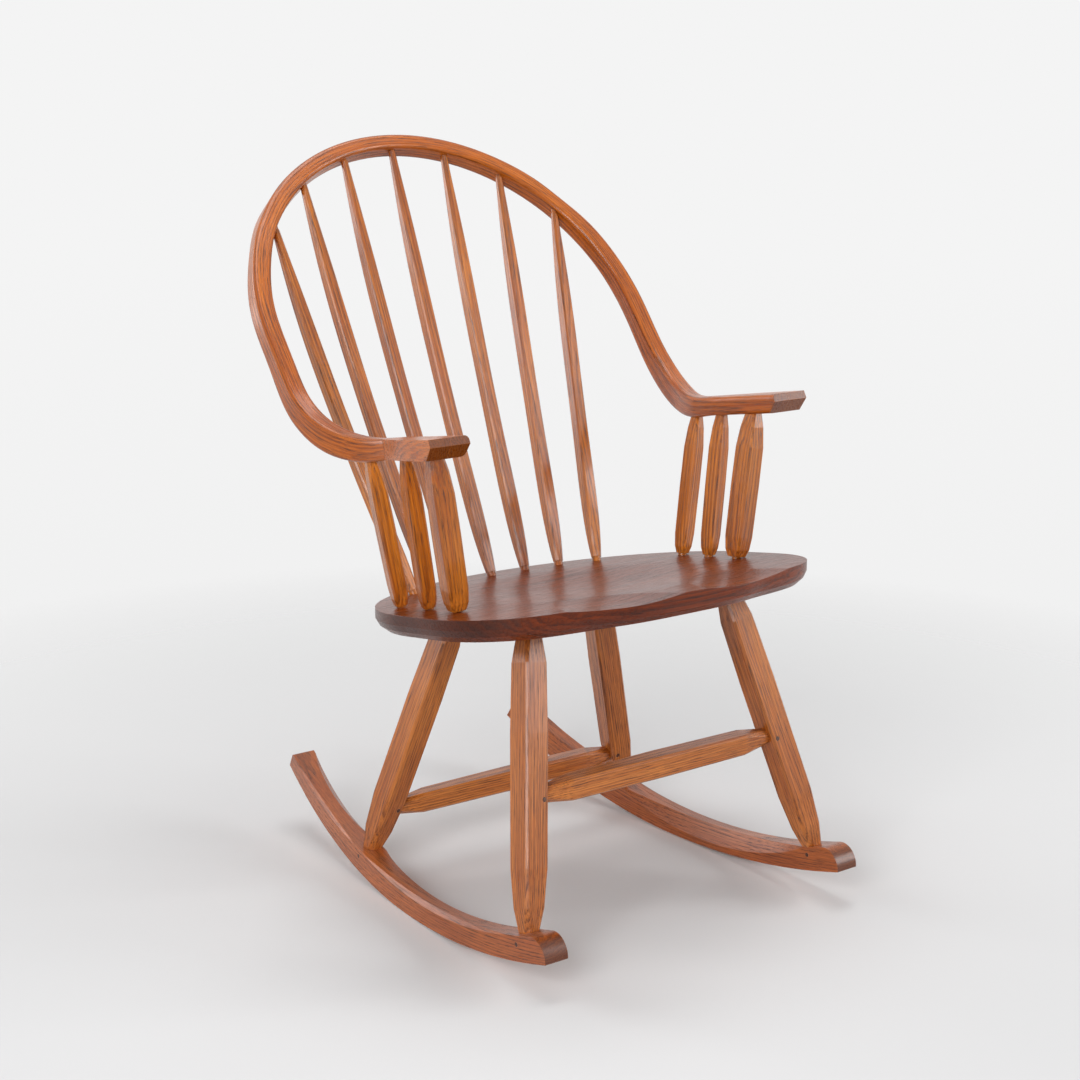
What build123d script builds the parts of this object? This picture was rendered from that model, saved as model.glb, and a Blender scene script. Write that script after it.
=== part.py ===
from build123d import *
from math import asin, atan, cos, degrees, pi, radians, sin, sqrt, tan
import os

# Hoop back rocking chair: one steam-bent hoop that turns into both arms, faceted
# back spindles and arm posts, a saddled plank seat glued up from four boards, four
# faceted legs, two stretchers and two rockers. Millimetres, +Z up, sitter facing -Y.
os.makedirs("parts", exist_ok=True)

# How the chair stands: the seat leans back by rest_tilt when it is at rest.
rest_tilt = 9.6
seat_rear_y = 111.7
seat_rear_height = 412.7

# Glue joints
glue_gap = 0.1
socket_bottom_gap = 1.0

# Seat, in the seat's own frame: x across, v to the rear, w up from its top
seat_half_width = 297.0
seat_rear_edge = 38.0
seat_front_edge = -474.0
seat_shoulder_share = (0.975, 0.52)
seat_corner_share = (0.80, 0.805)
seat_brow_share = (0.45, 0.935)
seat_thickness = 31.0
seat_edge_height = 14.0
seat_edge_inset = 14.0
seat_round_height = 9.0
seat_round_inset = 4.5
seat_joints = (-422.0, -296.0, -128.0)
dish_centre_v = -235.0
dish_radius = 200.0
dish_depth = 9.0
thigh_scoop_x = 108.0
thigh_scoop_radius = 640.0
thigh_scoop_depth = 6.5
thigh_scoop_start = -330.0

# Hoop: a half circle in the leaning back plane, bent forward into level arms
hoop_radius = 318.0
hoop_width = 28.0
crown_width = 24.0
hoop_thickness = 30.0
bend_thickness = 36.0
arm_thickness = 27.0
hoop_edge_radius = 6.0
back_lean = 29.3
arm_height = 219.0
arm_bend_radius = 190.0
arm_bend_corner_v = -84.0
arch_height = 180.5
arm_jog = 46.5
arm_jog_start = 83.0
arm_jog_length = 255.0
arm_tip_v = -371.0
arm_tip_height = 222.0
tip_undercut = 42.0
tip_bevel = 17.0

# Arm pads, glued to the outside of the hoop's ends
pad_rear_v = -190.0
pad_tip_width = 33.0
pad_lap = 7.0

# Back spindles
spindle_count = 7
spindle_root_pitch = 62.7
spindle_root_closing = 2.6
spindle_root_curve = 1.6
spindle_head_angle = 16.7
spindle_head_spread = 0.15
spindle_sag = 10.5
spindle_side = 19.5
spindle_root_side = 16.5
spindle_neck_side = 16.5
spindle_head_side = 9.5
spindle_turn = 0.0
spindle_head_tenon_radius = 4.4
spindle_head_tenon = 15.0
spindle_root_tenon_radius = 6.5
spindle_root_tenon = 22.0
spindle_root_shoulder = 4.5

# Arm supports: two spindles and a front post under each arm. Feet are across and
# to the rear on the seat, heads are out from the arm's middle line and to the rear.
post_side = 30.5
arm_spindle_side = 23.0
rear_support_foot = (248.3, -147.0)
rear_support_head = (12.5, -168.0)
middle_support_foot = (245.0, -212.0)
middle_support_head = (0.5, -238.0)
post_foot = (242.0, -277.0)
post_head = (0.5, -308.0)
arm_spindle_turn = 12.0
post_turn = 8.0
support_tenon_radius = 6.5
support_root_tenon = 22.0
support_head_tenon = 15.0
support_root_shoulder = 2.5

# Legs
front_leg_head = (170.4, -333.3)
rear_leg_head = (125.0, -86.0)
leg_side = 37.0
leg_head_side = 28.0
leg_foot_side = 23.5
leg_turn = -5.0
leg_tenon_radius = 10.0
leg_head_tenon = 24.0
leg_foot_tenon = 22.0

# Stretchers, at shares of the legs' length down from the seat
front_stretcher_share = 0.562
rear_stretcher_share = 0.84
front_stretcher_turn = 8.0
rear_stretcher_turn = 25.0
stretcher_side = 31.0
stretcher_end_side = 19.0
stretcher_tenon_radius = 7.5
stretcher_tenon = 25.0

# Rockers
rocker_contact_y = -50.3
rocker_front_rise = 54.3
rocker_rear_rise = 94.7
rocker_front_height = 38.0
rocker_middle_height = 34.0
rocker_rear_height = 30.0
rocker_heel_slope = 14.0
rocker_thickness = 36.0
rocker_front_y = -396.3
rocker_rear_y = 339.7
rocker_front_x = 253.0
rocker_middle_x = 243.5
rocker_rear_x = 205.0
outer_chamfer = 6.0
inner_bevel_width = 13.0
inner_bevel_depth = 24.0
heel_chamfer = 4.5
heel_bevel = 11.0
heel_bevel_end = 0.97
foot_clearance = 0.02
rocker_nose_radius = 26.0
rocker_heel_radius = 5.0
front_foot_share = 0.093
rear_foot_share = 0.654
foot_inset = 5.0

# Locking pins
pin_radius = 3.0
stretcher_pin_inset = 7.0
foot_pin_depth = 12.0

chair = Plane(
    origin=(0, seat_rear_y, seat_rear_height),
    x_dir=(1, 0, 0),
    z_dir=(0, sin(radians(rest_tilt)), cos(radians(rest_tilt))),
)
seat_underside = chair.offset(-seat_thickness)
up = Vector(chair.z_dir)


def spot(x, v, w):
    """A point of the seat's frame in the chair's standing frame."""
    return Vector(chair.from_local_coords((x, v, w)))


def station(path, share, facing, turn=0.0):
    """The plane across a path, with its x axis toward facing, turned about the path."""
    along = path % share
    flat = facing - along * facing.dot(along)
    plane = Plane(origin=path @ share, x_dir=flat, z_dir=along)
    return plane.rotated((0, 0, turn))


def faceted_body(path, sections, facing, turn=0.0, ruled=True):
    """A square bar with cut-off corners; sections hold share, side and corner cut."""
    with BuildPart() as body:
        for share, side, corner in sections:
            with BuildSketch(station(path, share, facing, turn)):
                Rectangle(side, side)
                chamfer(vertices(), corner)
        loft(ruled=ruled)
    return body.part


def tenon(path, share, radius, start, length):
    """A round peg along a path's end, from start before the end to length past it."""
    outward = 1 if share > 0.5 else -1
    plane = station(path, share, Vector(1, 0.1, 0.2))
    with BuildPart() as peg:
        with BuildSketch(plane.offset(-outward * start)):
            Circle(radius)
        extrude(amount=outward * (start + length))
    return peg.part


def socket(path, share, radius, start, length):
    """The hole for a tenon, wider and deeper by the glue gaps."""
    return tenon(path, share, radius + glue_gap, start, length + socket_bottom_gap)


def mirrored(part):
    return mirror(part, about=Plane.YZ)


# ---------------------------------------------------------------- hoop geometry
lean = radians(back_lean)
bend_turn = radians(90.0 - back_lean)
bend_tangent = arm_bend_radius * tan(bend_turn / 2)
bend_start = arch_height - bend_tangent
bend_length = arm_bend_radius * bend_turn
jog_radius = (arm_jog_length**2 + arm_jog**2) / (4 * arm_jog)


def hoop_x(u):
    """Half width of the hoop's middle line at u below the arch's centre."""
    first = u - arm_jog_start
    last = arm_jog_start + arm_jog_length - u
    if first <= 0:
        return hoop_radius
    if last <= 0:
        return hoop_radius - arm_jog
    if first < last:
        return hoop_radius - (jog_radius - sqrt(jog_radius**2 - first**2))
    return hoop_radius - arm_jog + (jog_radius - sqrt(jog_radius**2 - last**2))


def hoop_heading(u):
    """Angle that the middle line turns inward at u, in radians."""
    first = u - arm_jog_start
    last = arm_jog_start + arm_jog_length - u
    near = max(0.0, min(first, last))
    return atan(near / sqrt(jog_radius**2 - near**2))


def hoop_side(u):
    """Side view of the middle line: v, w and the slope angle below the vertical."""
    if u <= bend_start:
        rise = arch_height - u
        return arm_bend_corner_v + rise * sin(lean), arm_height + rise * cos(lean), lean
    if u <= bend_start + bend_length:
        slope = lean + (u - bend_start) / arm_bend_radius
        centre_v = arm_bend_corner_v - bend_tangent
        centre_w = arm_height + arm_bend_radius
        v = centre_v + arm_bend_radius * cos(slope)
        return v, centre_w - arm_bend_radius * sin(slope), slope
    reach = u - bend_start - bend_length
    return arm_bend_corner_v - bend_tangent - reach, arm_height, radians(90.0)


def hoop_frame(side, u, offset=0.0):
    """Cross plane of a hoop leg, x outward and y to the rear face, going over the arch."""
    v, w, slope = hoop_side(u)
    turn = hoop_heading(u)
    down = Vector(0, -sin(slope), -cos(slope))
    out = Vector(side, 0, 0)
    radial = out * cos(turn) + down * sin(turn)
    along = down * cos(turn) - out * sin(turn)
    centre = Vector(side * hoop_x(u), v, w) + radial * offset
    return centre, radial, along * -side


def arch_frame(angle, offset=0.0):
    """Cross plane of the arch at an angle from the left leg (0) to the right (180)."""
    turn = radians(angle)
    rise = Vector(0, sin(lean), cos(lean))
    foot = Vector(0, arm_bend_corner_v, arm_height) + rise * arch_height
    radial = Vector(cos(turn), 0, 0) + rise * sin(turn)
    along = Vector(-sin(turn), 0, 0) + rise * cos(turn)
    return foot + radial * (hoop_radius + offset), radial, along


def arch_width(angle):
    """The arch is shaved narrower towards its crown."""
    return hoop_width - (hoop_width - crown_width) * sin(radians(angle)) ** 2


def leg_thickness(u):
    """Thickness of a hoop leg at u: fullest in the bend, thinnest along the arm."""
    half_way = bend_start + bend_length / 2
    rear_end = hoop_thickness if u < half_way else arm_thickness
    off_middle = min(1.0, abs(u - half_way) / (bend_length * 0.75))
    return rear_end + (bend_thickness - rear_end) * (1 + cos(pi * off_middle)) / 2


def hoop_plane(frame):
    """A frame of the seat's coordinates as a plane of the standing chair."""
    centre, radial, along = frame
    origin = spot(*centre)
    return Plane(
        origin=origin,
        x_dir=spot(*(centre + radial)) - origin,
        z_dir=spot(*(centre + along)) - origin,
    )


tip_reach = -(arm_tip_v - 14.0) + arm_bend_corner_v - bend_tangent
tip_u = bend_start + bend_length + tip_reach
leg_steps = [bend_start * 0.5, bend_start]
leg_steps += [bend_start + bend_length * k / 6 for k in range(1, 7)]
leg_steps += [bend_start + bend_length + tip_reach * k / 8 for k in range(1, 9)]


def past_arm_tip():
    """What lies past the arm's undercut end face and its steep upper bevel."""
    tip = spot(0, arm_tip_v, arm_tip_height)
    with BuildPart() as waste:
        for angle in (-tip_undercut, tip_bevel):
            turn = radians(angle)
            ahead = spot(0, -cos(turn), sin(turn)) - spot(0, 0, 0)
            with BuildSketch(Plane(origin=tip, x_dir=(1, 0, 0), z_dir=ahead)):
                Rectangle(3 * hoop_radius, 4 * hoop_thickness)
            extrude(amount=2 * hoop_thickness)
    return waste.part


def hoop_blank():
    with BuildPart() as blank:
        left_leg = [(hoop_frame(1, u), hoop_width, leg_thickness(u)) for u in reversed(leg_steps)]
        right_leg = [(hoop_frame(-1, u), hoop_width, leg_thickness(u)) for u in leg_steps]
        arch = [(arch_frame(a), arch_width(a), hoop_thickness) for a in range(0, 181, 15)]
        for frame, width, thickness in left_leg + arch + right_leg:
            with BuildSketch(hoop_plane(frame)):
                with Locations((0, (thickness - arm_thickness) / 2)):
                    RectangleRounded(width, thickness, hoop_edge_radius)
        loft()
    return blank.part


# ---------------------------------------------------------------- member lines
def spindle_line(index):
    """Bent axis of a back spindle, from the seat to the hoop's inner face."""
    place = index - (spindle_count - 1) / 2
    x = place * (spindle_root_pitch - spindle_root_closing * abs(place))
    root = spot(x, -spindle_root_curve * abs(place) ** 3, spindle_root_shoulder)
    angle = 90.0 - place * (spindle_head_angle + spindle_head_spread * place**2)
    head = spot(*arch_frame(angle, -arch_width(angle) / 2)[0])
    chord = (head - root).normalized()
    back = (chord * up.dot(chord) - up).normalized()
    middle = (root + head) * 0.5 + back * spindle_sag
    return ThreePointArc(root, middle, head)


# ---------------------------------------------------------------- rocker blank
front_reach = rocker_contact_y - rocker_front_y
rear_reach = rocker_rear_y - rocker_contact_y
rocker_front_radius = (front_reach**2 + rocker_front_rise**2) / (2 * rocker_front_rise)
rocker_rear_radius = (rear_reach**2 + rocker_rear_rise**2) / (2 * rocker_rear_rise)
rocker_plan_margin = 3.0
rocker_plan = ThreePointArc(
    (rocker_front_x, rocker_front_y - rocker_plan_margin),
    (rocker_middle_x, (rocker_front_y + rocker_rear_y) / 2),
    (rocker_rear_x, rocker_rear_y + rocker_plan_margin),
)


def rocker_rise(y):
    """Height of the rocker's underside above the floor at y."""
    radius = rocker_front_radius if y < rocker_contact_y else rocker_rear_radius
    return radius - sqrt(radius**2 - (y - rocker_contact_y) ** 2)


rocker_top_rear_y = rocker_rear_y - rocker_heel_slope
rocker_top_arc = ThreePointArc(
    (rocker_front_y, rocker_front_rise + rocker_front_height),
    (rocker_contact_y, rocker_middle_height),
    (rocker_top_rear_y, rocker_rise(rocker_top_rear_y) + rocker_rear_height),
)


def rocker_top(y):
    """Height of the rocker's top above the floor at y."""
    centre = rocker_top_arc.arc_center
    return centre.Y - sqrt(rocker_top_arc.radius**2 - (y - centre.X) ** 2)


def foot_place(share):
    """Where a leg stands on the left rocker's top, share of the way back."""
    place = rocker_plan @ share
    return Vector(place.X - foot_inset, place.Y, rocker_top(place.Y))


def rocker_blank():
    """Sawn to a curve in side view and bent slightly inward to the rear."""
    front_sweep = degrees(asin(front_reach / rocker_front_radius))
    rear_sweep = degrees(asin(rear_reach / rocker_rear_radius))
    front_low = (rocker_front_y, rocker_front_rise)
    rear_low = (rocker_rear_y, rocker_rear_rise)
    with BuildPart() as blank:
        with BuildSketch(Plane.YZ) as profile:
            with BuildLine():
                JernArc((rocker_contact_y, 0), (-1, 0), rocker_front_radius, -front_sweep)
                JernArc((rocker_contact_y, 0), (1, 0), rocker_rear_radius, rear_sweep)
                add(rocker_top_arc)
                Line(front_low, rocker_top_arc @ 0)
                Line(rear_low, rocker_top_arc @ 1)
            make_face()
            front_corners = profile.vertices().sort_by(Axis.X)[:2]
            fillet(front_corners.sort_by(Axis.Y)[-1], rocker_nose_radius)
            rear_corners = profile.vertices().sort_by(Axis.X)[-2:]
            fillet(rear_corners.sort_by(Axis.Y)[-1], rocker_heel_radius)
        extrude(amount=2 * rocker_front_x)
        with BuildSketch(Plane.XY):
            with BuildLine():
                add(rocker_plan)
            trace(line_width=rocker_thickness)
        extrude(amount=rocker_rear_radius, mode=Mode.INTERSECT)
    return blank.part


def stopped_chamfer(side, start, end, width, depth):
    """Waste of a chamfer that fades out at both ends; side is 1 outside, -1 inside."""
    margin = 1.5
    with BuildPart() as waste:
        for step in (0, 0.12, 0.3, 0.5, 0.7, 0.88, 1):
            full = 1.08 * sin(pi * step) ** 0.6 - 0.08
            share = start + (end - start) * step
            place = rocker_plan @ share
            along = rocker_plan % share
            out = Vector(along.Y, -along.X, 0) * side
            edge = place + out * (rocker_thickness / 2)
            corner = Vector(edge.X, edge.Y, rocker_top(edge.Y))
            with BuildSketch(Plane(origin=corner, x_dir=out, z_dir=along * -side)):
                with BuildLine():
                    inner = (-width * (full + margin / depth), margin)
                    lower = (margin, -depth * (full + margin / width))
                    Polyline((margin, margin), inner, lower, close=True)
                make_face()
        loft()
    return waste.part


bevel_spans = (
    (1, front_foot_share + foot_clearance, rear_foot_share - foot_clearance, outer_chamfer, outer_chamfer),
    (-1, front_foot_share, rear_foot_share - foot_clearance, inner_bevel_width, inner_bevel_depth),
    (1, rear_foot_share + foot_clearance, heel_bevel_end, heel_chamfer, heel_chamfer),
    (-1, rear_foot_share + foot_clearance, heel_bevel_end, heel_bevel, heel_bevel),
)
with BuildPart() as rocker_shaping:
    add(rocker_blank())
    for span in bevel_spans:
        add(stopped_chamfer(*span), mode=Mode.SUBTRACT)
left_rocker_raw = rocker_shaping.part

# ---------------------------------------------------------------- legs and stretchers
front_leg_line = Line(spot(*front_leg_head, -seat_thickness), foot_place(front_foot_share))
rear_leg_line = Line(spot(*rear_leg_head, -seat_thickness), foot_place(rear_foot_share))


def leg_blank(line):
    """A leg's faceted body, cut off by the seat's underside and coped to the rocker."""
    length = line.length
    sections = (
        (-12 / length, leg_head_side - 2.5, 6.0),
        (10 / length, leg_head_side + 1.0, 5.5),
        (45 / length, leg_side - 1.5, 3.0),
        (0.35, leg_side + 0.5, 2.6),
        (1 - 80 / length, leg_side, 3.0),
        (1 - 30 / length, leg_side - 4.5, 4.5),
        (1 + 6 / length, leg_foot_side, 6.8),
    )
    with BuildPart() as body:
        add(faceted_body(line, sections, Vector(1, 0, 0), leg_turn))
        split(bisect_by=seat_underside, keep=Keep.BOTTOM)
        add(left_rocker_raw, mode=Mode.SUBTRACT)
    return body.part


def stretcher_line(leg_line, share):
    """From the right leg's middle line to the left leg's."""
    end = leg_line @ share
    return Line((-end.X, end.Y, end.Z), end)


def stretcher_body(line, turn):
    """A faceted bar with pointed facets at its ends, reaching into both legs."""
    span = line.length
    inset = leg_side / 2 - 4
    half = (
        (inset / span, stretcher_end_side, 5.5),
        ((inset + 12) / span, stretcher_end_side + 3.5, 6.2),
        ((inset + 50) / span, stretcher_side - 1.5, 3.0),
    )
    sections = half + ((0.5, stretcher_side, 2.6),)
    sections += tuple((1 - share, side, corner) for share, side, corner in reversed(half))
    return faceted_body(line, sections, Vector(0, 0, 1), turn)


def fit_left_end(body, leg, line, hole):
    """Cope a stretcher onto the left leg and give it its tenon and pin hole."""
    with BuildPart() as fitted:
        add(body)
        add(leg, mode=Mode.SUBTRACT)
        add(tenon(line, 1, stretcher_tenon_radius, leg_side / 2 + 6, tip_reach_in_leg))
        add(hole, mode=Mode.SUBTRACT)
    return fitted.part


def pin_bar(place, direction, length, radius):
    """A round bar through a place, length / 2 to each side of it."""
    with BuildPart() as bar:
        with BuildSketch(Plane(origin=place, z_dir=direction)):
            Circle(radius)
        extrude(amount=length / 2, both=True)
    return bar.part


def export_pair(name, part):
    """Write the left part and its mirror image."""
    for side, shape in (("left", part), ("right", mirrored(part))):
        shape.label = f"{side}_{name}"
        export_step(shape, f"parts/{side}_{name}.step")


stretcher_pins = []
rocker_pins = []
leg_head_sockets = []
rocker_holes = []
tip_reach_in_leg = stretcher_tenon - leg_side / 2
for name, line, share, turn in (
    ("front", front_leg_line, front_stretcher_share, front_stretcher_turn),
    ("rear", rear_leg_line, rear_stretcher_share, rear_stretcher_turn),
):
    raw = leg_blank(line)
    cross = stretcher_line(line, share)
    pin_spot = cross @ (1 - (leg_side / 2 - stretcher_pin_inset) / cross.length)
    leg_pin = pin_bar(pin_spot, (0, 1, 0), 3 * leg_side, pin_radius)
    leg_pin_hole = pin_bar(pin_spot, (0, 1, 0), 3 * leg_side, pin_radius + glue_gap)
    foot_spot = line @ 1 + (line % 1) * foot_pin_depth
    foot_pin = pin_bar(foot_spot, (1, 0, 0), 3 * rocker_thickness, pin_radius)
    foot_pin_hole = pin_bar(foot_spot, (1, 0, 0), 3 * rocker_thickness, pin_radius + glue_gap)

    with BuildPart() as leg:
        add(raw)
        add(tenon(line, 0, leg_tenon_radius, leg_head_side / 2, leg_head_tenon))
        add(tenon(line, 1, leg_tenon_radius, leg_foot_side / 2, leg_foot_tenon))
        add(socket(cross, 1, stretcher_tenon_radius, leg_side, tip_reach_in_leg), mode=Mode.SUBTRACT)
        add(leg_pin_hole, mode=Mode.SUBTRACT)
        add(foot_pin_hole, mode=Mode.SUBTRACT)
    export_pair(f"{name}_leg", leg.part)

    bar = fit_left_end(stretcher_body(cross, turn), raw, cross, leg_pin_hole)
    stretcher = fit_left_end(mirrored(bar), raw, cross, leg_pin_hole)
    stretcher.label = f"{name}_stretcher"
    export_step(stretcher, f"parts/{name}_stretcher.step")

    with BuildPart() as pin:
        add(leg_pin)
        add(raw, mode=Mode.INTERSECT)
    stretcher_pins += [pin.part, mirrored(pin.part)]
    with BuildPart() as pin:
        add(foot_pin)
        add(left_rocker_raw, mode=Mode.INTERSECT)
    rocker_pins += [pin.part, mirrored(pin.part)]
    leg_head_sockets.append(socket(line, 0, leg_tenon_radius, leg_head_side, leg_head_tenon))
    rocker_holes.append(socket(line, 1, leg_tenon_radius, leg_foot_side, leg_foot_tenon))
    rocker_holes.append(foot_pin_hole)

with BuildPart() as left_rocker:
    add(left_rocker_raw)
    for hole in rocker_holes:
        add(hole, mode=Mode.SUBTRACT)
export_pair("rocker", left_rocker.part)

for label, group in (("rocker_pins", rocker_pins), ("stretcher_pins", stretcher_pins)):
    export_step(Compound(label=label, children=group), f"parts/{label}.step")

# ---------------------------------------------------------------- spindles and supports
hoop_raw = hoop_blank()
arm_waste = past_arm_tip()
hoop_sockets = []
seat_sockets = leg_head_sockets + [mirrored(hole) for hole in leg_head_sockets]

arm_underside = arm_height - arm_thickness / 2
arm_x = hoop_radius - arm_jog
glue_x = arm_x + hoop_width / 2
pad_end_v = arm_tip_v - arm_thickness / 2
with BuildPart() as left_arm_pad:
    with BuildSketch(chair.offset(arm_underside)):
        with BuildLine():
            flare = Spline(
                (glue_x, pad_rear_v),
                (glue_x + pad_tip_width * 0.62, (pad_rear_v + arm_tip_v) / 2),
                (glue_x + pad_tip_width, pad_end_v),
                tangents=((0.12, -1), (0.1, -1)),
            )
            Polyline(
                flare @ 1,
                (glue_x - pad_lap, pad_end_v),
                (glue_x - pad_lap, pad_rear_v),
                flare @ 0,
            )
        make_face()
    extrude(amount=arm_thickness)
    add(hoop_raw, mode=Mode.SUBTRACT)
    add(arm_waste, mode=Mode.SUBTRACT)
export_pair("arm_pad", left_arm_pad.part)

for index in range(spindle_count):
    line = spindle_line(index)
    sections = (
        (0.0, spindle_root_side - 2.5, 4.0),
        (0.04, spindle_root_side, 3.0),
        (0.22, spindle_side, 2.0),
        (0.5, spindle_side - 1.0, 2.0),
        (0.8, spindle_neck_side, 2.2),
        (0.93, spindle_neck_side - 4.0, 2.8),
        (1.0, spindle_head_side, 2.6),
    )
    with BuildPart() as spindle:
        add(faceted_body(line, sections, Vector(1, 0, 0), spindle_turn, ruled=False))
        add(hoop_raw, mode=Mode.SUBTRACT)
        add(tenon(line, 1, spindle_head_tenon_radius, 6, spindle_head_tenon))
        add(tenon(line, 0, spindle_root_tenon_radius, 2, spindle_root_tenon))
    hoop_sockets.append(socket(line, 1, spindle_head_tenon_radius, 6, spindle_head_tenon))
    seat_sockets.append(socket(line, 0, spindle_root_tenon_radius, 2, spindle_root_tenon))
    spindle.part.label = f"back_spindle_{index + 1}"
    export_step(spindle.part, f"parts/back_spindle_{index + 1}.step")

for name, foot, head, side_length, turn in (
    ("rear_arm_spindle", rear_support_foot, rear_support_head, arm_spindle_side, arm_spindle_turn),
    ("middle_arm_spindle", middle_support_foot, middle_support_head, arm_spindle_side, arm_spindle_turn),
    ("arm_post", post_foot, post_head, post_side, post_turn),
):
    head_spot = spot(arm_x + head[0], head[1], arm_underside + 2)
    line = Line(spot(*foot, support_root_shoulder), head_spot)
    sections = (
        (0.0, side_length * 0.70, 3.5),
        (0.05, side_length * 0.88, 2.6),
        (0.14, side_length * 0.97, 2.2),
        (0.5, side_length, 2.2),
        (0.76, side_length * 0.98, 2.2),
        (0.9, side_length * 0.84, 2.8),
        (1.02, side_length * 0.60, 4.0),
    )
    with BuildPart() as support:
        add(faceted_body(line, sections, Vector(1, 0, 0), turn))
        add(hoop_raw, mode=Mode.SUBTRACT)
        add(left_arm_pad.part, mode=Mode.SUBTRACT)
        add(tenon(line, 1, support_tenon_radius, 8, support_head_tenon))
        add(tenon(line, 0, support_tenon_radius, 2, support_root_tenon))
    export_pair(name, support.part)
    head_hole = socket(line, 1, support_tenon_radius, 8, support_head_tenon)
    root_hole = socket(line, 0, support_tenon_radius, 2, support_root_tenon)
    hoop_sockets += [head_hole, mirrored(head_hole)]
    seat_sockets += [root_hole, mirrored(root_hole)]

# ---------------------------------------------------------------- hoop and arm pads
with BuildPart() as hoop:
    add(hoop_raw)
    add(arm_waste, mode=Mode.SUBTRACT)
    for hole in hoop_sockets:
        add(hole, mode=Mode.SUBTRACT)
hoop.part.label = "hoop"
export_step(hoop.part, "parts/hoop.step")


# ---------------------------------------------------------------- seat boards
def seat_outline(plane, inset):
    """The seat's rounded outline, smaller all round by inset."""
    middle_v = (seat_rear_edge + seat_front_edge) / 2
    half_width = seat_half_width - inset
    half_depth = (seat_rear_edge - seat_front_edge) / 2 - inset
    shares = (seat_shoulder_share, seat_corner_share, seat_brow_share)
    left = [(half_width * x, middle_v - half_depth * v) for x, v in shares]
    with BuildSketch(plane) as outline:
        with BuildLine():
            EllipticalCenterArc((0, middle_v), half_width, half_depth, arc_size=90)
            Spline(
                (half_width, middle_v),
                *left,
                (0, middle_v - half_depth),
                tangents=((0, -1), (-1, 0)),
            )
            mirror(about=Plane.YZ)
        make_face()
    return outline.sketch


def thigh_scoops():
    """Two shallow troughs that run out over the front edge, either side of a ridge."""
    start = spot(thigh_scoop_x, thigh_scoop_start, 0)
    end = spot(thigh_scoop_x, seat_front_edge, -thigh_scoop_depth)
    fall = (end - start).normalized()
    with BuildPart() as scoop:
        with BuildSketch(Plane(origin=start, x_dir=(1, 0, 0), z_dir=fall)):
            with Locations((0, thigh_scoop_radius)):
                Circle(thigh_scoop_radius)
        extrude(amount=seat_thickness - seat_front_edge)
    return scoop.part + mirrored(scoop.part)


def seat_blank():
    """The whole saddled plank: rounded outline, bevelled underside, shallow dish."""
    dish = spot(0, dish_centre_v, 0)
    with BuildPart() as plank:
        add(seat_outline(seat_underside, seat_edge_inset))
        add(seat_outline(chair.offset(-seat_edge_height - seat_round_height), seat_round_inset))
        add(seat_outline(chair.offset(-seat_edge_height), 0))
        loft(ruled=True)
        add(seat_outline(chair.offset(-seat_edge_height), 0))
        extrude(amount=seat_edge_height)
        with BuildSketch(Plane(origin=dish, x_dir=(1, 0, 0), z_dir=-chair.y_dir)):
            with BuildLine():
                hollow = Spline(
                    (0, -dish_depth), (dish_radius, 0), tangents=((1, 0), (1, 0))
                )
                Polyline(hollow @ 1, (dish_radius, dish_depth), (0, dish_depth), hollow @ 0)
            make_face()
        revolve(axis=Axis(dish, chair.z_dir), mode=Mode.SUBTRACT)
        add(thigh_scoops(), mode=Mode.SUBTRACT)
        split(bisect_by=Plane.YZ, keep=Keep.TOP)
        mirror(about=Plane.YZ)
    return plank.part


seat_raw = seat_blank()
board_edges = (seat_front_edge - seat_thickness,) + seat_joints + (seat_rear_edge + seat_thickness,)
for index in range(len(board_edges) - 1):
    front, rear = board_edges[index : index + 2]
    with BuildPart() as board:
        add(seat_raw)
        with BuildSketch(seat_underside):
            with Locations((0, (front + rear) / 2)):
                Rectangle(3 * seat_half_width, rear - front)
        extrude(amount=2 * seat_thickness, mode=Mode.INTERSECT)
        for hole in seat_sockets:
            add(hole, mode=Mode.SUBTRACT)
    board.part.label = f"seat_board_{index + 1}"
    export_step(board.part, f"parts/seat_board_{index + 1}.step")
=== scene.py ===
"""A hoop back rocking chair in a plain studio: oak on the part's solids, floor, lamps, camera."""

import math
import random

import bpy
import numpy as np
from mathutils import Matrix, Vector

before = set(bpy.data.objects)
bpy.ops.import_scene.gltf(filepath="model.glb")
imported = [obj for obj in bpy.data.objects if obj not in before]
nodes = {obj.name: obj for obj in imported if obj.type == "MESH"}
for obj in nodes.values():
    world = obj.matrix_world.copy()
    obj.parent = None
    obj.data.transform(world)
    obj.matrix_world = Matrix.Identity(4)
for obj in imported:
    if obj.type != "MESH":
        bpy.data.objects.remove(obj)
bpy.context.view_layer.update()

GRAIN_SEED = 7
random.seed(GRAIN_SEED)


def srgb(red, green, blue):
    """A colour written as it shows on screen, 0-255, as linear values."""
    parts = []
    for value in (red, green, blue):
        value /= 255.0
        parts.append(value / 12.92 if value <= 0.04045 else ((value + 0.055) / 1.055) ** 2.4)
    return (*parts, 1.0)


# ------------------------------------------------------------------ grain directions
# The seat's frame (across, to the rear, up) in the standing chair.
REST_TILT = math.radians(9.6)
SEAT_Y, SEAT_Z = 0.1117, 0.4127

# The hoop's middle line, with the part's own values. It ends 14 mm past the arms' tips.
LEAN = math.radians(29.3)
BEND_CORNER_V, ARM_W = -0.084, 0.219
BEND_RADIUS, ARCH_RISE, ARCH_RADIUS = 0.190, 0.1805, 0.318
JOG, JOG_START, JOG_LENGTH = 0.0465, 0.083, 0.255
PATH_END_V = -0.385
PATH_STEPS = 120

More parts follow.
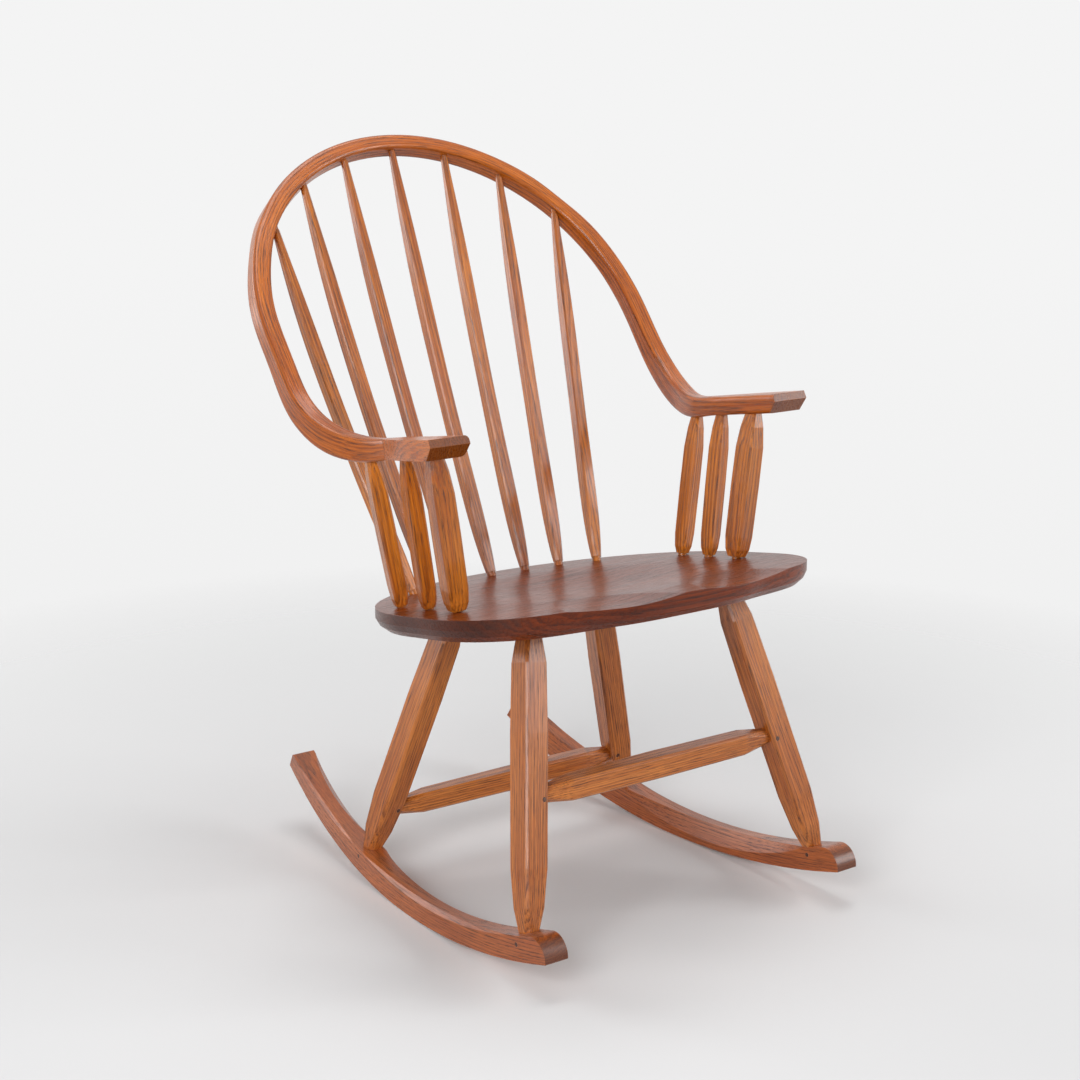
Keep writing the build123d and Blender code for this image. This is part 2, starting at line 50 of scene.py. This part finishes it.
# The rockers' grain: near the line of the sawn curve, in the two halves about the contact line.
ROCKER_CONTACT_Y = -0.0503
ROCKER_FRONT_RADIUS, ROCKER_REAR_RADIUS = 1.13, 0.85
ROCKER_X, ROCKER_TOE = 0.24, 0.03
ROCKER_CURVE_SHARE = 0.82

# A direction that no straight member lies along, to turn its grain about its axis.
SIDE_HINT = (0, 1, 0.3)
# Each member is cut from another place in the timber, up to this far away.
TIMBER_REACH = 3


def seat_point(x, v, w):
    """From the seat's frame to the standing chair."""
    ct, st = math.cos(REST_TILT), math.sin(REST_TILT)
    return np.array([x, SEAT_Y + v * ct + w * st, SEAT_Z - v * st + w * ct])


def hoop_path():
    """Points, outward directions and face directions along the hoop's middle line."""
    turn = math.pi / 2 - LEAN
    tangent = BEND_RADIUS * math.tan(turn / 2)
    start = ARCH_RISE - tangent
    bend = BEND_RADIUS * turn
    end = start + bend + BEND_CORNER_V - tangent - PATH_END_V
    left = []
    for k in range(PATH_STEPS + 1):
        u = end * (1 - k / PATH_STEPS)
        share = min(1.0, max(0.0, (u - JOG_START) / JOG_LENGTH))
        x = ARCH_RADIUS - JOG * (0.5 - 0.5 * math.cos(math.pi * share))
        if u <= start:
            v = BEND_CORNER_V + (ARCH_RISE - u) * math.sin(LEAN)
            w = ARM_W + (ARCH_RISE - u) * math.cos(LEAN)
            slope = LEAN
        elif u <= start + bend:
            slope = LEAN + (u - start) / BEND_RADIUS
            v = BEND_CORNER_V - tangent + BEND_RADIUS * math.cos(slope)
            w = ARM_W + BEND_RADIUS - BEND_RADIUS * math.sin(slope)
        else:
            slope = math.pi / 2
            v = BEND_CORNER_V - tangent - (u - start - bend)
            w = ARM_W
        left.append(((x, v, w), (1, 0, 0), (0, math.cos(slope), -math.sin(slope))))
    arch = []
    for k in range(1, PATH_STEPS):
        a = math.pi * k / PATH_STEPS
        rise = ARCH_RISE + ARCH_RADIUS * math.sin(a)
        v = BEND_CORNER_V + rise * math.sin(LEAN)
        w = ARM_W + rise * math.cos(LEAN)
        out = (math.cos(a), math.sin(a) * math.sin(LEAN), math.sin(a) * math.cos(LEAN))
        face = (0, math.cos(LEAN), -math.sin(LEAN))
        arch.append(((ARCH_RADIUS * math.cos(a), v, w), out, face))
    right = [((-c[0], c[1], c[2]), (-1, 0, 0), f) for c, o, f in reversed(left)]
    path = left + arch + right
    zero = seat_point(0, 0, 0)
    points = np.array([seat_point(*c) for c, o, f in path])
    outs = np.array([seat_point(*o) - zero for c, o, f in path])
    faces = np.array([seat_point(*f) - zero for c, o, f in path])
    return points, outs, faces


def along_path(co, points, outs, faces):
    """Grain coordinates (across, through, along) of points near a path, and its direction."""
    gaps = (co**2).sum(1)[:, None] - 2 * co @ points.T + (points**2).sum(1)[None, :]
    near = gaps.argmin(1)
    tangents = np.gradient(points, axis=0)
    tangents /= np.linalg.norm(tangents, axis=1)[:, None]
    lengths = np.linalg.norm(np.diff(points, axis=0), axis=1)
    steps = np.concatenate([[0], np.cumsum(lengths)])
    away = co - points[near]
    grain = np.stack([
        (away * outs[near]).sum(1),
        (away * faces[near]).sum(1),
        steps[near] + (away * tangents[near]).sum(1),
    ], axis=1)
    return grain, tangents[near]


def along_axis(co, axis=None):
    """Grain coordinates of a straight member, from its own longest direction."""
    centre = (co.min(0) + co.max(0)) / 2
    away = co - centre
    if axis is None:
        axis = np.linalg.eigh(np.cov(away.T))[1][:, 2]
    axis = np.array(axis, float) / np.linalg.norm(axis)
    if axis[2] < 0:
        axis = -axis
    side = np.cross(axis, SIDE_HINT)
    side /= np.linalg.norm(side)
    other = np.cross(axis, side)
    grain = np.stack([away @ side, away @ other, away @ axis], axis=1)
    return grain, np.tile(axis, (len(co), 1))


def along_rocker(co, side):
    """Grain coordinates of a rocker: it follows most of the sawn curve."""
    y = co[:, 1] - ROCKER_CONTACT_Y
    radius = np.where(y < 0, ROCKER_FRONT_RADIUS, ROCKER_REAR_RADIUS)
    grain = np.stack([
        co[:, 0] * side - ROCKER_X + ROCKER_TOE * y,
        co[:, 2] - ROCKER_CURVE_SHARE * y**2 / (2 * radius),
        co[:, 1],
    ], axis=1)
    tangent = np.stack([0 * y, np.ones(len(y)), y / radius], axis=1)
    return grain, tangent / np.linalg.norm(tangent, axis=1)[:, None]


def along_pins(co):
    """Each pin of a group has its own middle line."""
    grain = np.zeros_like(co)
    direction = np.zeros_like(co)
    split_y = (co[:, 1].min() + co[:, 1].max()) / 2
    for x_sign in (-1, 1):
        for y_sign in (-1, 1):
            pick = (np.sign(co[:, 0]) == x_sign) & (np.sign(co[:, 1] - split_y) == y_sign)
            grain[pick], direction[pick] = along_axis(co[pick])
    return grain, direction


def set_grain(obj, grain, direction):
    """Store the grain coordinates and the grain's direction at each vertex."""
    shift = np.array([random.uniform(-TIMBER_REACH, TIMBER_REACH) for _ in range(3)])
    stored = (("grain", grain + shift), ("plain_grain", grain), ("grain_heading", direction))
    for name, values in stored:
        own = obj.data.attributes.new(name, "FLOAT_VECTOR", "POINT")
        own.data.foreach_set("vector", values.astype(np.float32).ravel())


# ------------------------------------------------------------------ shader helpers
def link(tree, source, target):
    tree.links.new(source, target)


def math_node(tree, operation, a, b=None, clamp=False):
    node = tree.nodes.new("ShaderNodeMath")
    node.operation = operation
    node.use_clamp = clamp
    for index, value in enumerate((a, b)):
        if value is None:
            continue
        if isinstance(value, (int, float)):
            node.inputs[index].default_value = value
        else:
            link(tree, value, node.inputs[index])
    return node.outputs[0]


def times(tree, a, b):
    return math_node(tree, "MULTIPLY", a, b)


def scaled(tree, vector, factors):
    node = tree.nodes.new("ShaderNodeVectorMath")
    node.operation = "MULTIPLY"
    link(tree, vector, node.inputs[0])
    node.inputs[1].default_value = factors
    return node.outputs[0]


def length_of(tree, vector):
    node = tree.nodes.new("ShaderNodeVectorMath")
    node.operation = "LENGTH"
    link(tree, vector, node.inputs[0])
    return node.outputs["Value"]


def dot(tree, a, b):
    node = tree.nodes.new("ShaderNodeVectorMath")
    node.operation = "DOT_PRODUCT"
    link(tree, a, node.inputs[0])
    link(tree, b, node.inputs[1])
    return node.outputs["Value"]


def grain_noise(tree, grain, along, scale, detail, rough):
    """Noise that is drawn out along the grain: the smaller `along`, the longer."""
    stretched = scaled(tree, grain, (1, 1, along))
    node = tree.nodes.new("ShaderNodeTexNoise")
    link(tree, stretched, node.inputs["Vector"])
    node.inputs["Scale"].default_value = scale
    node.inputs["Detail"].default_value = detail
    node.inputs["Roughness"].default_value = rough
    return node.outputs[0]


def ramp(tree, factor, stops):
    node = tree.nodes.new("ShaderNodeValToRGB")
    elements = node.color_ramp.elements
    while len(elements) < len(stops):
        elements.new(0.5)
    for element, (position, color) in zip(elements, stops):
        element.position = position
        element.color = color if isinstance(color, tuple) else (color, color, color, 1)
    link(tree, factor, node.inputs[0])
    return node.outputs[0]


def mixed(tree, factor, a, b):
    node = tree.nodes.new("ShaderNodeMix")
    node.data_type = "RGBA"
    link(tree, factor, node.inputs[0])
    for index, value in ((6, a), (7, b)):
        if isinstance(value, tuple):
            node.inputs[index].default_value = value
        else:
            link(tree, value, node.inputs[index])
    return node.outputs[2]


def attribute(tree, name):
    node = tree.nodes.new("ShaderNodeAttribute")
    node.attribute_type = "GEOMETRY"
    node.attribute_name = name
    return node.outputs["Vector"]


# ------------------------------------------------------------------ wood
# Noise in the timber: reach along the grain, scale, detail, roughness.
WARP = (0.07, 14, 2.0, 0.45)
FINE_WARP = (0.035, 120, 2.0, 0.5)
CLOUD = (0.22, 16, 3.0, 0.5)
STREAK = (0.016, 330, 3.0, 0.6)
PORES = (0.028, 1150, 2.0, 0.6)
PATCH = (0.12, 45, 2.0, 0.5)

# Growth bands: how far the noise bends them (metres, then rings), and their profile.
RING_WARP, FINE_RING_WARP = 0.045, 1.3
BAND_STOPS = ((0.0, 0.55), (0.08, 0.85), (0.30, 0.5), (0.62, 0.12), (0.94, 0.05), (1.0, 0.55))
PATCH_STOPS = ((0.35, 0.35), (0.65, 1.0))
PORE_STOPS = ((0.50, 0.0), (0.60, 1.0))
PORES_IN_BAND, PORES_ELSEWHERE = 0.75, 0.35
TONE_SHARE, TONE_OFFSET = 0.9, 0.4
MIDDLE_STOP, LIGHT_STOP = 0.22, 0.72

# How strongly each layer covers the one below it.
BAND_COVER, PORE_COVER, END_GRAIN_COVER, ARRIS_HIGHLIGHT_COVER, RIM_COVER = 0.80, 0.90, 0.66, 0.35, 0.9
END_GRAIN_STOPS = ((0.45, 0.0), (0.80, 1.0))
# Where the rounded arrises get a painted highlight: their colour is lightened towards the light
# tone.
ARRIS_HIGHLIGHT_STOPS = ((0.90, 1.0), (0.995, 0.0))

# Softly rounded arrises, and the dark ring round a locking pin.
ARRIS_RADIUS, ARRIS_SAMPLES = 0.0016, 4
PIN_SCALE, RIM_STOPS = 300.0, ((0.62, 0.0), (0.80, 1.0))

# Varnish: how much streaks and pores roughen it, and the relief of both.
COAT_IOR = 1.5
STREAK_GLOSS, PORE_GLOSS = 0.16, 0.18
STREAK_RELIEF, RELIEF_STRENGTH, RELIEF_DEPTH = 0.35, 0.22, 0.0005

WOODS = {
    "hoop_oak": dict(
        light=srgb(214, 116, 24),
        middle=srgb(168, 76, 10),
        dark=srgb(96, 36, 4),
        pore=srgb(48, 14, 2),
        ring_pitch=0.0036,
        ring_turn=0.35,
        roughness=0.28,
        coat=0.20,
        coat_roughness=0.14,
    ),
    "spindle_oak": dict(
        light=srgb(216, 128, 42),
        middle=srgb(164, 78, 18),
        dark=srgb(92, 36, 6),
        pore=srgb(46, 15, 3),
        ring_pitch=0.0040,
        ring_turn=0.9,
        roughness=0.26,
        coat=0.35,
        coat_roughness=0.12,
    ),
    "leg_oak": dict(
        light=srgb(212, 128, 54),
        middle=srgb(166, 84, 26),
        dark=srgb(100, 44, 12),
        pore=srgb(54, 20, 5),
        ring_pitch=0.0038,
        ring_turn=0.5,
        roughness=0.30,
        coat=0.20,
        coat_roughness=0.16,
    ),
    "rocker_oak": dict(
        light=srgb(190, 104, 46),
        middle=srgb(150, 70, 24),
        dark=srgb(88, 36, 10),
        pore=srgb(50, 18, 5),
        ring_pitch=0.0055,
        ring_turn=1.35,
        roughness=0.30,
        coat=0.20,
        coat_roughness=0.16,
    ),
    "seat_oak": dict(
        light=srgb(136, 56, 12),
        middle=srgb(100, 36, 6),
        dark=srgb(66, 21, 3),
        pore=srgb(38, 11, 2),
        ring_pitch=0.0090,
        ring_turn=0.25,
        roughness=0.28,
        coat=0.10,
        coat_roughness=0.15,
        specular=0.25,
    ),
    "pin_wood": dict(
        light=srgb(150, 78, 30),
        middle=srgb(116, 54, 18),
        dark=srgb(80, 34, 10),
        pore=srgb(26, 9, 3),
        ring_pitch=0.0030,
        ring_turn=0.4,
        roughness=0.30,
        coat=0.20,
        coat_roughness=0.16,
        rim=True,
    ),
}


def make_wood(
    name,
    light,
    middle,
    dark,
    pore,
    ring_pitch,
    ring_turn,
    roughness,
    coat,
    coat_roughness,
    specular=0.4,
    rim=False,
):
    """Varnished, stained oak: growth bands, open pores, streaks, end grain, and a painted
    highlight on the rounded arrises.
    """
    material = bpy.data.materials.new(name)
    material.use_nodes = True
    tree = material.node_tree
    shader = tree.nodes["Principled BSDF"]
    shader.inputs["Specular IOR Level"].default_value = specular
    shader.inputs["Coat Weight"].default_value = coat
    shader.inputs["Coat Roughness"].default_value = coat_roughness
    shader.inputs["Coat IOR"].default_value = COAT_IOR

    grain = attribute(tree, "grain")
    warp = grain_noise(tree, grain, *WARP)
    fine_warp = grain_noise(tree, grain, *FINE_WARP)
    separate = tree.nodes.new("ShaderNodeSeparateXYZ")
    link(tree, grain, separate.inputs[0])
    across = times(tree, separate.outputs[0], math.cos(ring_turn) / ring_pitch)
    through = times(tree, separate.outputs[1], math.sin(ring_turn) / ring_pitch)
    rings = math_node(tree, "ADD", across, through)
    rings = math_node(tree, "ADD", rings, times(tree, warp, RING_WARP / ring_pitch))
    rings = math_node(tree, "ADD", rings, times(tree, fine_warp, FINE_RING_WARP))
    band = ramp(tree, math_node(tree, "FRACT", rings), BAND_STOPS)

    cloud = grain_noise(tree, grain, *CLOUD)
    streak = grain_noise(tree, grain, *STREAK)
    pore_mask = ramp(tree, grain_noise(tree, grain, *PORES), PORE_STOPS)
    pore_share = math_node(tree, "ADD", times(tree, band, PORES_IN_BAND), PORES_ELSEWHERE)
    dashes = times(tree, pore_mask, pore_share)

    tone = math_node(tree, "ADD", times(tree, cloud, TONE_SHARE), times(tree, streak, TONE_SHARE))
    tone = math_node(tree, "SUBTRACT", tone, TONE_OFFSET)
    base = ramp(tree, tone, ((MIDDLE_STOP, middle), (LIGHT_STOP, light)))
    patch = ramp(tree, grain_noise(tree, grain, *PATCH), PATCH_STOPS)
    base = mixed(tree, times(tree, times(tree, band, patch), BAND_COVER), base, dark)
    base = mixed(tree, times(tree, dashes, PORE_COVER), base, pore)
    geometry = tree.nodes.new("ShaderNodeNewGeometry")
    facing = dot(tree, attribute(tree, "grain_heading"), geometry.outputs["True Normal"])
    end_grain = ramp(tree, math_node(tree, "ABSOLUTE", facing), END_GRAIN_STOPS)
    base = mixed(tree, times(tree, end_grain, END_GRAIN_COVER), base, pore)

    bevel = tree.nodes.new("ShaderNodeBevel")
    bevel.samples = ARRIS_SAMPLES
    bevel.inputs["Radius"].default_value = ARRIS_RADIUS
    bent = dot(tree, bevel.outputs[0], geometry.outputs["True Normal"])
    # Painted highlight: the rounded arrises are lightened towards the light tone, as if light
    # caught them.
    arris_highlight = ramp(tree, bent, ARRIS_HIGHLIGHT_STOPS)
    base = mixed(tree, times(tree, arris_highlight, ARRIS_HIGHLIGHT_COVER), base, light)
    if rim:
        radial = scaled(tree, attribute(tree, "plain_grain"), (1, 1, 0))
        ring = ramp(tree, times(tree, length_of(tree, radial), PIN_SCALE), RIM_STOPS)
        base = mixed(tree, times(tree, ring, RIM_COVER), base, pore)
    link(tree, base, shader.inputs["Base Color"])

    gloss = times(tree, streak, STREAK_GLOSS)
    gloss = math_node(tree, "ADD", gloss, roughness - STREAK_GLOSS / 2)
    gloss = math_node(tree, "ADD", gloss, times(tree, dashes, PORE_GLOSS), clamp=True)
    link(tree, gloss, shader.inputs["Roughness"])

    height = math_node(tree, "SUBTRACT", times(tree, streak, STREAK_RELIEF), dashes)
    bump = tree.nodes.new("ShaderNodeBump")
    bump.inputs["Strength"].default_value = RELIEF_STRENGTH
    bump.inputs["Distance"].default_value = RELIEF_DEPTH
    link(tree, height, bump.inputs["Height"])
    link(tree, bevel.outputs[0], bump.inputs["Normal"])
    link(tree, bump.outputs[0], shader.inputs["Normal"])
    return material


woods = {name: make_wood(name, **look) for name, look in WOODS.items()}

hoop_line = hoop_path()
for name, obj in sorted(nodes.items()):
    co = np.array([v.co for v in obj.data.vertices])
    if name == "hoop" or name.endswith("arm_pad"):
        grain, direction = along_path(co, *hoop_line)
        wood = woods["hoop_oak"]
    elif name.startswith("seat_board"):
        grain, direction = along_axis(co, (1, 0, 0))
        wood = woods["seat_oak"]
    elif name.endswith("_rocker"):
        grain, direction = along_rocker(co, 1 if name.startswith("left") else -1)
        wood = woods["rocker_oak"]
    elif name.endswith("_pins"):
        grain, direction = along_pins(co)
        wood = woods["pin_wood"]
    else:
        grain, direction = along_axis(co)
        wood = woods["leg_oak" if name.endswith(("_leg", "_stretcher")) else "spindle_oak"]
    set_grain(obj, grain, direction)
    for slot in obj.material_slots:
        slot.material = wood

# ------------------------------------------------------------------ floor
# A pale square that fades into the backdrop between two shares of its reach.
FLOOR_REACH, FLOOR_DROP = 9.0, 0.0005
FLOOR_COLOR, FLOOR_ROUGHNESS, FLOOR_SPECULAR = (0.82, 0.82, 0.825, 1), 0.9, 0.1
FLOOR_FADE = ((0.06, 0.0), (0.20, 1.0))

floor_mesh = bpy.data.meshes.new("floor")
turns = ((-1, -1), (1, -1), (1, 1), (-1, 1))
corners = [(FLOOR_REACH * x, FLOOR_REACH * y, 0) for x, y in turns]
floor_mesh.from_pydata(corners, [], [(0, 1, 2, 3)])
floor = bpy.data.objects.new("floor", floor_mesh)
bpy.context.scene.collection.objects.link(floor)
floor.location.z = -FLOOR_DROP

paper = bpy.data.materials.new("floor_paper")
paper.use_nodes = True
tree = paper.node_tree
shader = tree.nodes["Principled BSDF"]
shader.inputs["Base Color"].default_value = FLOOR_COLOR
shader.inputs["Roughness"].default_value = FLOOR_ROUGHNESS
shader.inputs["Specular IOR Level"].default_value = FLOOR_SPECULAR
place = tree.nodes.new("ShaderNodeTexCoord").outputs["Object"]
fade = ramp(tree, times(tree, length_of(tree, place), 1 / FLOOR_REACH), FLOOR_FADE)
clear = tree.nodes.new("ShaderNodeBsdfTransparent")
blend = tree.nodes.new("ShaderNodeMixShader")
link(tree, fade, blend.inputs[0])
link(tree, shader.outputs[0], blend.inputs[1])
link(tree, clear.outputs[0], blend.inputs[2])
link(tree, blend.outputs[0], tree.nodes["Material Output"].inputs[0])
floor_mesh.materials.append(paper)

# ------------------------------------------------------------------ backdrop and light
# White light from all round, and what camera, glossy and transmission rays see instead:
# a pale sweep, by the height of the ray's heading (0 straight down, 1 straight up).
AMBIENT, BACKDROP_STRENGTH = 0.13, 1.0
SWEEP_STOPS = (
    (0.25, srgb(226, 226, 227)),
    (0.35, srgb(240, 240, 240)),
    (0.45, srgb(244, 244, 244)),
)

world = bpy.data.worlds.new("studio")
world.use_nodes = True
bpy.context.scene.world = world
tree = world.node_tree
background = tree.nodes["Background"]
background.inputs[0].default_value = (1, 1, 1, 1)
background.inputs[1].default_value = AMBIENT
backdrop = tree.nodes.new("ShaderNodeBackground")
heading = tree.nodes.new("ShaderNodeTexCoord")
split_heading = tree.nodes.new("ShaderNodeSeparateXYZ")
link(tree, heading.outputs["Generated"], split_heading.inputs[0])
rise = math_node(tree, "ADD", times(tree, split_heading.outputs[2], 0.5), 0.5)
link(tree, ramp(tree, rise, SWEEP_STOPS), backdrop.inputs[0])
backdrop.inputs[1].default_value = BACKDROP_STRENGTH
rays = tree.nodes.new("ShaderNodeLightPath")
seen = rays.outputs["Is Camera Ray"]
for kind in ("Is Transmission Ray", "Is Glossy Ray"):
    seen = math_node(tree, "MAXIMUM", seen, rays.outputs[kind])
choose = tree.nodes.new("ShaderNodeMixShader")
link(tree, seen, choose.inputs[0])
link(tree, background.outputs[0], choose.inputs[1])
link(tree, backdrop.outputs[0], choose.inputs[2])
link(tree, choose.outputs[0], tree.nodes["World Output"].inputs[0])

# Square softboxes, all aimed at the middle of the chair: place, side and power in watts.
LAMP_TARGET = (0, 0, 0.5)
SOFTBOXES = {
    "key": ((-2.9, -2.1, 1.7), 1.9, 90),
    "front": ((2.7, -2.2, 1.5), 1.8, 72),
    "top": ((0.2, 0.3, 3.3), 2.0, 40),
    "rim": ((-2.1, 2.7, 1.5), 2.0, 42),
}

for name, (location, size, power) in SOFTBOXES.items():
    lamp = bpy.data.lights.new(name, "AREA")
    lamp.shape = "SQUARE"
    lamp.size = size
    lamp.energy = power
    holder = bpy.data.objects.new(name, lamp)
    holder.location = location
    aim = Vector(LAMP_TARGET) - Vector(location)
    holder.rotation_euler = aim.to_track_quat("-Z", "Y").to_euler()
    holder.visible_camera = False
    bpy.context.scene.collection.objects.link(holder)

# ------------------------------------------------------------------ camera
SENSOR_MM, FOCAL_PX, PICTURE_PX = 36.0, 2050, 1080
CAMERA_PLACE = (-1.6731, -2.3172, 1.1862)
CAMERA_PITCH, CAMERA_HEADING = math.radians(76.28), math.radians(-35.97)

camera_data = bpy.data.cameras.new("camera")
camera_data.sensor_width = SENSOR_MM
camera_data.lens = SENSOR_MM * FOCAL_PX / PICTURE_PX
camera = bpy.data.objects.new("camera", camera_data)
camera.location = CAMERA_PLACE
camera.rotation_euler = (CAMERA_PITCH, 0, CAMERA_HEADING)
bpy.context.scene.collection.objects.link(camera)
bpy.context.scene.camera = camera
bpy.context.scene.view_settings.view_transform = "Standard"
